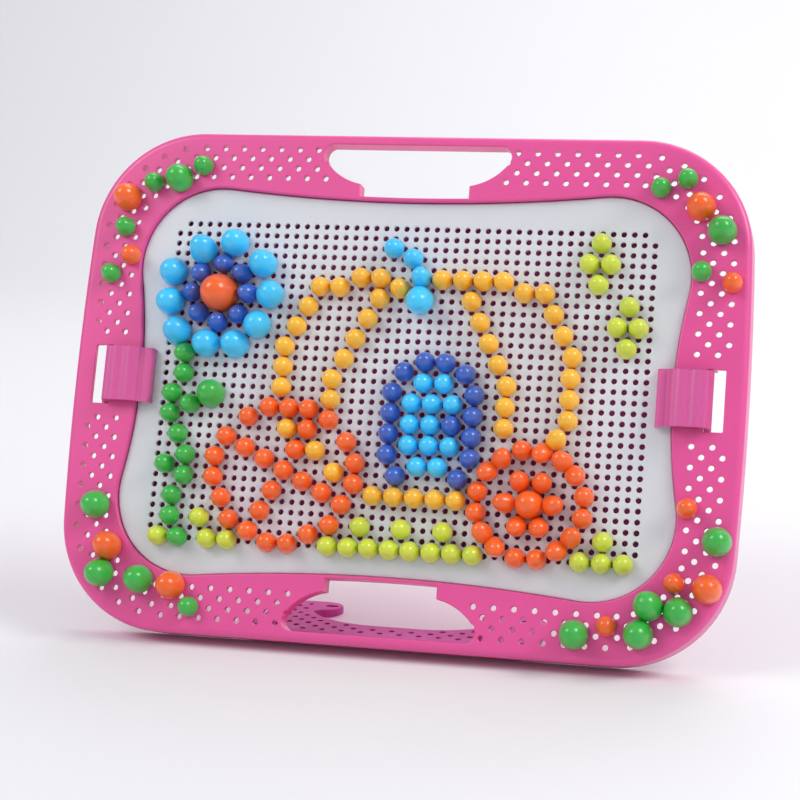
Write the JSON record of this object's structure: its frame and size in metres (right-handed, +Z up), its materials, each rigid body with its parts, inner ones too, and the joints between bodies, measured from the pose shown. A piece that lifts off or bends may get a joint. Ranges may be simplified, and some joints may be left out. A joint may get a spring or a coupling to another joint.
{
  "type": "mushroom peg mosaic board",
  "caption": "Leaning mosaic board with a perforated border and tray, a white peg plate, two hinged clips, a fold-out foot and pull-out mushroom pegs.",
  "frame": {"origin": "on the table, under the middle of the object's bounding box", "axes": "+X to the right across the board as its user faces it, -Y towards the user, +Z up; the board leans back 20 degrees from upright"},
  "size_m": [0.328, 0.1108, 0.2389],
  "materials": {
    "border_pink": "glossy moulded plastic",
    "clip_pink": "glossy moulded plastic",
    "plate_white": "satin moulded plastic",
    "light_blue": "glossy moulded plastic",
    "dark_blue": "glossy moulded plastic",
    "orange": "glossy moulded plastic",
    "yellow": "glossy moulded plastic",
    "lime": "glossy moulded plastic",
    "green": "glossy moulded plastic"
  },
  "bodies": {
    "board": {"border_tray": "border_pink", "peg_plate": "plate_white"},
    "foot": {"foot": "clip_pink"},
    "left_clip": {"left_clip": "clip_pink"},
    "right_clip": {"right_clip": "clip_pink"},
    "flower_middle": {"flower_middle": "orange"},
    "flower_petal_1": {"flower_petal_1": "light_blue"},
    "flower_petal_2": {"flower_petal_2": "light_blue"},
    "flower_petal_3": {"flower_petal_3": "light_blue"},
    "flower_petal_4": {"flower_petal_4": "light_blue"},
    "flower_petal_5": {"flower_petal_5": "light_blue"},
    "flower_petal_6": {"flower_petal_6": "light_blue"},
    "flower_petal_7": {"flower_petal_7": "light_blue"},
    "flower_petal_8": {"flower_petal_8": "light_blue"},
    "flower_ring_1": {"flower_ring_1": "dark_blue"},
    "flower_ring_2": {"flower_ring_2": "dark_blue"},
    "flower_ring_3": {"flower_ring_3": "dark_blue"},
    "flower_ring_4": {"flower_ring_4": "dark_blue"},
    "flower_ring_5": {"flower_ring_5": "dark_blue"},
    "flower_ring_6": {"flower_ring_6": "dark_blue"},
    "flower_ring_7": {"flower_ring_7": "dark_blue"},
    "flower_ring_8": {"flower_ring_8": "dark_blue"},
    "coach_roof": {"coach_roof": "yellow"},
    "stem_leaf": {"stem_leaf": "green"},
    "lower_clover_1": {"lower_clover_1": "lime"},
    "lower_clover_2": {"lower_clover_2": "lime"},
    "lower_clover_3": {"lower_clover_3": "lime"},
    "lower_clover_4": {"lower_clover_4": "lime"},
    "upper_clover_1": {"upper_clover_1": "lime"},
    "upper_clover_2": {"upper_clover_2": "lime"},
    "upper_clover_3": {"upper_clover_3": "lime"},
    "upper_clover_4": {"upper_clover_4": "lime"},
    "bottom_left_peg_10": {"bottom_left_peg_10": "green"},
    "bottom_left_peg_12": {"bottom_left_peg_12": "orange"},
    "bottom_left_peg_16": {"bottom_left_peg_16": "green"},
    "bottom_left_peg_20": {"bottom_left_peg_20": "green"},
    "bottom_left_peg_22": {"bottom_left_peg_22": "orange"},
    "bottom_left_peg_27": {"bottom_left_peg_27": "green"},
    "bottom_right_peg_10": {"bottom_right_peg_10": "green"},
    "bottom_right_peg_13": {"bottom_right_peg_13": "orange"},
    "bottom_right_peg_16": {"bottom_right_peg_16": "green"},
    "bottom_right_peg_18": {"bottom_right_peg_18": "green"},
    "bottom_right_peg_20": {"bottom_right_peg_20": "green"},
    "bottom_right_peg_22": {"bottom_right_peg_22": "orange"},
    "bottom_right_peg_23": {"bottom_right_peg_23": "orange"},
    "bottom_right_peg_27": {"bottom_right_peg_27": "green"},
    "bottom_right_peg_30": {"bottom_right_peg_30": "orange"},
    "top_left_peg_13": {"top_left_peg_13": "green"},
    "top_left_peg_16": {"top_left_peg_16": "green"},
    "top_left_peg_19": {"top_left_peg_19": "green"},
    "top_left_peg_22": {"top_left_peg_22": "orange"},
    "top_left_peg_25": {"top_left_peg_25": "green"},
    "top_left_peg_28": {"top_left_peg_28": "orange"},
    "top_left_peg_30": {"top_left_peg_30": "green"},
    "top_right_peg_16": {"top_right_peg_16": "green"},
    "top_right_peg_18": {"top_right_peg_18": "green"},
    "top_right_peg_21": {"top_right_peg_21": "orange"},
    "top_right_peg_24": {"top_right_peg_24": "green"},
    "top_right_peg_28": {"top_right_peg_28": "green"},
    "top_right_peg_29": {"top_right_peg_29": "orange"}
  },
  "joints": [
    {"name": "foot_fold", "type": "hinge", "parent": "board", "child": "foot", "pos_m": [0, -0.02446, 0.00275], "axis": [1, 0, 0], "range_deg": [0, 69.5], "stiffness_Nm_per_rad": 8},
    {"name": "clip_left_open", "type": "hinge", "parent": "board", "child": "left_clip", "pos_m": [-0.147, -0.0043, 0.12241], "axis": [0, -0.342, -0.9397], "range_deg": [0, 95]},
    {"name": "clip_right_open", "type": "hinge", "parent": "board", "child": "right_clip", "pos_m": [0.147, -0.0043, 0.12241], "axis": [0, 0.342, 0.9397], "range_deg": [0, 95]},
    {"name": "pull_flower_middle", "type": "slide", "parent": "board", "child": "flower_middle", "axis": [0, -0.9397, 0.342], "range_m": [0, 0.014]},
    {"name": "pull_flower_petal_1", "type": "slide", "parent": "board", "child": "flower_petal_1", "axis": [0, -0.9397, 0.342], "range_m": [0, 0.014]},
    {"name": "pull_flower_petal_2", "type": "slide", "parent": "board", "child": "flower_petal_2", "axis": [0, -0.9397, 0.342], "range_m": [0, 0.014]},
    {"name": "pull_flower_petal_3", "type": "slide", "parent": "board", "child": "flower_petal_3", "axis": [0, -0.9397, 0.342], "range_m": [0, 0.014]},
    {"name": "pull_flower_petal_4", "type": "slide", "parent": "board", "child": "flower_petal_4", "axis": [0, -0.9397, 0.342], "range_m": [0, 0.014]},
    {"name": "pull_flower_petal_5", "type": "slide", "parent": "board", "child": "flower_petal_5", "axis": [0, -0.9397, 0.342], "range_m": [0, 0.014]},
    {"name": "pull_flower_petal_6", "type": "slide", "parent": "board", "child": "flower_petal_6", "axis": [0, -0.9397, 0.342], "range_m": [0, 0.014]},
    {"name": "pull_flower_petal_7", "type": "slide", "parent": "board", "child": "flower_petal_7", "axis": [0, -0.9397, 0.342], "range_m": [0, 0.014]},
    {"name": "pull_flower_petal_8", "type": "slide", "parent": "board", "child": "flower_petal_8", "axis": [0, -0.9397, 0.342], "range_m": [0, 0.014]},
    {"name": "pull_flower_ring_1", "type": "slide", "parent": "board", "child": "flower_ring_1", "axis": [0, -0.9397, 0.342], "range_m": [0, 0.014]},
    {"name": "pull_flower_ring_2", "type": "slide", "parent": "board", "child": "flower_ring_2", "axis": [0, -0.9397, 0.342], "range_m": [0, 0.014]},
    {"name": "pull_flower_ring_3", "type": "slide", "parent": "board", "child": "flower_ring_3", "axis": [0, -0.9397, 0.342], "range_m": [0, 0.014]},
    {"name": "pull_flower_ring_4", "type": "slide", "parent": "board", "child": "flower_ring_4", "axis": [0, -0.9397, 0.342], "range_m": [0, 0.014]},
    {"name": "pull_flower_ring_5", "type": "slide", "parent": "board", "child": "flower_ring_5", "axis": [0, -0.9397, 0.342], "range_m": [0, 0.014]},
    {"name": "pull_flower_ring_6", "type": "slide", "parent": "board", "child": "flower_ring_6", "axis": [0, -0.9397, 0.342], "range_m": [0, 0.014]},
    {"name": "pull_flower_ring_7", "type": "slide", "parent": "board", "child": "flower_ring_7", "axis": [0, -0.9397, 0.342], "range_m": [0, 0.014]},
    {"name": "pull_flower_ring_8", "type": "slide", "parent": "board", "child": "flower_ring_8", "axis": [0, -0.9397, 0.342], "range_m": [0, 0.014]},
    {"name": "pull_coach_roof", "type": "slide", "parent": "board", "child": "coach_roof", "axis": [0, -0.9397, 0.342], "range_m": [0, 0.014]},
    {"name": "pull_stem_leaf", "type": "slide", "parent": "board", "child": "stem_leaf", "axis": [0, -0.9397, 0.342], "range_m": [0, 0.014]},
    {"name": "pull_lower_clover_1", "type": "slide", "parent": "board", "child": "lower_clover_1", "axis": [0, -0.9397, 0.342], "range_m": [0, 0.014]},
    {"name": "pull_lower_clover_2", "type": "slide", "parent": "board", "child": "lower_clover_2", "axis": [0, -0.9397, 0.342], "range_m": [0, 0.014]},
    {"name": "pull_lower_clover_3", "type": "slide", "parent": "board", "child": "lower_clover_3", "axis": [0, -0.9397, 0.342], "range_m": [0, 0.014]},
    {"name": "pull_lower_clover_4", "type": "slide", "parent": "board", "child": "lower_clover_4", "axis": [0, -0.9397, 0.342], "range_m": [0, 0.014]},
    {"name": "pull_upper_clover_1", "type": "slide", "parent": "board", "child": "upper_clover_1", "axis": [0, -0.9397, 0.342], "range_m": [0, 0.014]},
    {"name": "pull_upper_clover_2", "type": "slide", "parent": "board", "child": "upper_clover_2", "axis": [0, -0.9397, 0.342], "range_m": [0, 0.014]},
    {"name": "pull_upper_clover_3", "type": "slide", "parent": "board", "child": "upper_clover_3", "axis": [0, -0.9397, 0.342], "range_m": [0, 0.014]},
    {"name": "pull_upper_clover_4", "type": "slide", "parent": "board", "child": "upper_clover_4", "axis": [0, -0.9397, 0.342], "range_m": [0, 0.014]},
    {"name": "pull_bottom_left_peg_10", "type": "slide", "parent": "board", "child": "bottom_left_peg_10", "axis": [0, -0.9397, 0.342], "range_m": [0, 0.014]},
    {"name": "pull_bottom_left_peg_12", "type": "slide", "parent": "board", "child": "bottom_left_peg_12", "axis": [0, -0.9397, 0.342], "range_m": [0, 0.014]},
    {"name": "pull_bottom_left_peg_16", "type": "slide", "parent": "board", "child": "bottom_left_peg_16", "axis": [0, -0.9397, 0.342], "range_m": [0, 0.014]},
    {"name": "pull_bottom_left_peg_20", "type": "slide", "parent": "board", "child": "bottom_left_peg_20", "axis": [0, -0.9397, 0.342], "range_m": [0, 0.014]},
    {"name": "pull_bottom_left_peg_22", "type": "slide", "parent": "board", "child": "bottom_left_peg_22", "axis": [0, -0.9397, 0.342], "range_m": [0, 0.014]},
    {"name": "pull_bottom_left_peg_27", "type": "slide", "parent": "board", "child": "bottom_left_peg_27", "axis": [0, -0.9397, 0.342], "range_m": [0, 0.014]},
    {"name": "pull_bottom_right_peg_10", "type": "slide", "parent": "board", "child": "bottom_right_peg_10", "axis": [0, -0.9397, 0.342], "range_m": [0, 0.014]},
    {"name": "pull_bottom_right_peg_13", "type": "slide", "parent": "board", "child": "bottom_right_peg_13", "axis": [0, -0.9397, 0.342], "range_m": [0, 0.014]},
    {"name": "pull_bottom_right_peg_16", "type": "slide", "parent": "board", "child": "bottom_right_peg_16", "axis": [0, -0.9397, 0.342], "range_m": [0, 0.014]},
    {"name": "pull_bottom_right_peg_18", "type": "slide", "parent": "board", "child": "bottom_right_peg_18", "axis": [0, -0.9397, 0.342], "range_m": [0, 0.014]},
    {"name": "pull_bottom_right_peg_20", "type": "slide", "parent": "board", "child": "bottom_right_peg_20", "axis": [0, -0.9397, 0.342], "range_m": [0, 0.014]},
    {"name": "pull_bottom_right_peg_22", "type": "slide", "parent": "board", "child": "bottom_right_peg_22", "axis": [0, -0.9397, 0.342], "range_m": [0, 0.014]},
    {"name": "pull_bottom_right_peg_23", "type": "slide", "parent": "board", "child": "bottom_right_peg_23", "axis": [0, -0.9397, 0.342], "range_m": [0, 0.014]},
    {"name": "pull_bottom_right_peg_27", "type": "slide", "parent": "board", "child": "bottom_right_peg_27", "axis": [0, -0.9397, 0.342], "range_m": [0, 0.014]},
    {"name": "pull_bottom_right_peg_30", "type": "slide", "parent": "board", "child": "bottom_right_peg_30", "axis": [0, -0.9397, 0.342], "range_m": [0, 0.014]},
    {"name": "pull_top_left_peg_13", "type": "slide", "parent": "board", "child": "top_left_peg_13", "axis": [0, -0.9397, 0.342], "range_m": [0, 0.014]},
    {"name": "pull_top_left_peg_16", "type": "slide", "parent": "board", "child": "top_left_peg_16", "axis": [0, -0.9397, 0.342], "range_m": [0, 0.014]},
    {"name": "pull_top_left_peg_19", "type": "slide", "parent": "board", "child": "top_left_peg_19", "axis": [0, -0.9397, 0.342], "range_m": [0, 0.014]},
    {"name": "pull_top_left_peg_22", "type": "slide", "parent": "board", "child": "top_left_peg_22", "axis": [0, -0.9397, 0.342], "range_m": [0, 0.014]},
    {"name": "pull_top_left_peg_25", "type": "slide", "parent": "board", "child": "top_left_peg_25", "axis": [0, -0.9397, 0.342], "range_m": [0, 0.014]},
    {"name": "pull_top_left_peg_28", "type": "slide", "parent": "board", "child": "top_left_peg_28", "axis": [0, -0.9397, 0.342], "range_m": [0, 0.014]},
    {"name": "pull_top_left_peg_30", "type": "slide", "parent": "board", "child": "top_left_peg_30", "axis": [0, -0.9397, 0.342], "range_m": [0, 0.014]},
    {"name": "pull_top_right_peg_16", "type": "slide", "parent": "board", "child": "top_right_peg_16", "axis": [0, -0.9397, 0.342], "range_m": [0, 0.014]},
    {"name": "pull_top_right_peg_18", "type": "slide", "parent": "board", "child": "top_right_peg_18", "axis": [0, -0.9397, 0.342], "range_m": [0, 0.014]},
    {"name": "pull_top_right_peg_21", "type": "slide", "parent": "board", "child": "top_right_peg_21", "axis": [0, -0.9397, 0.342], "range_m": [0, 0.014]},
    {"name": "pull_top_right_peg_24", "type": "slide", "parent": "board", "child": "top_right_peg_24", "axis": [0, -0.9397, 0.342], "range_m": [0, 0.014]},
    {"name": "pull_top_right_peg_28", "type": "slide", "parent": "board", "child": "top_right_peg_28", "axis": [0, -0.9397, 0.342], "range_m": [0, 0.014]},
    {"name": "pull_top_right_peg_29", "type": "slide", "parent": "board", "child": "top_right_peg_29", "axis": [0, -0.9397, 0.342], "range_m": [0, 0.014]}
  ]
}
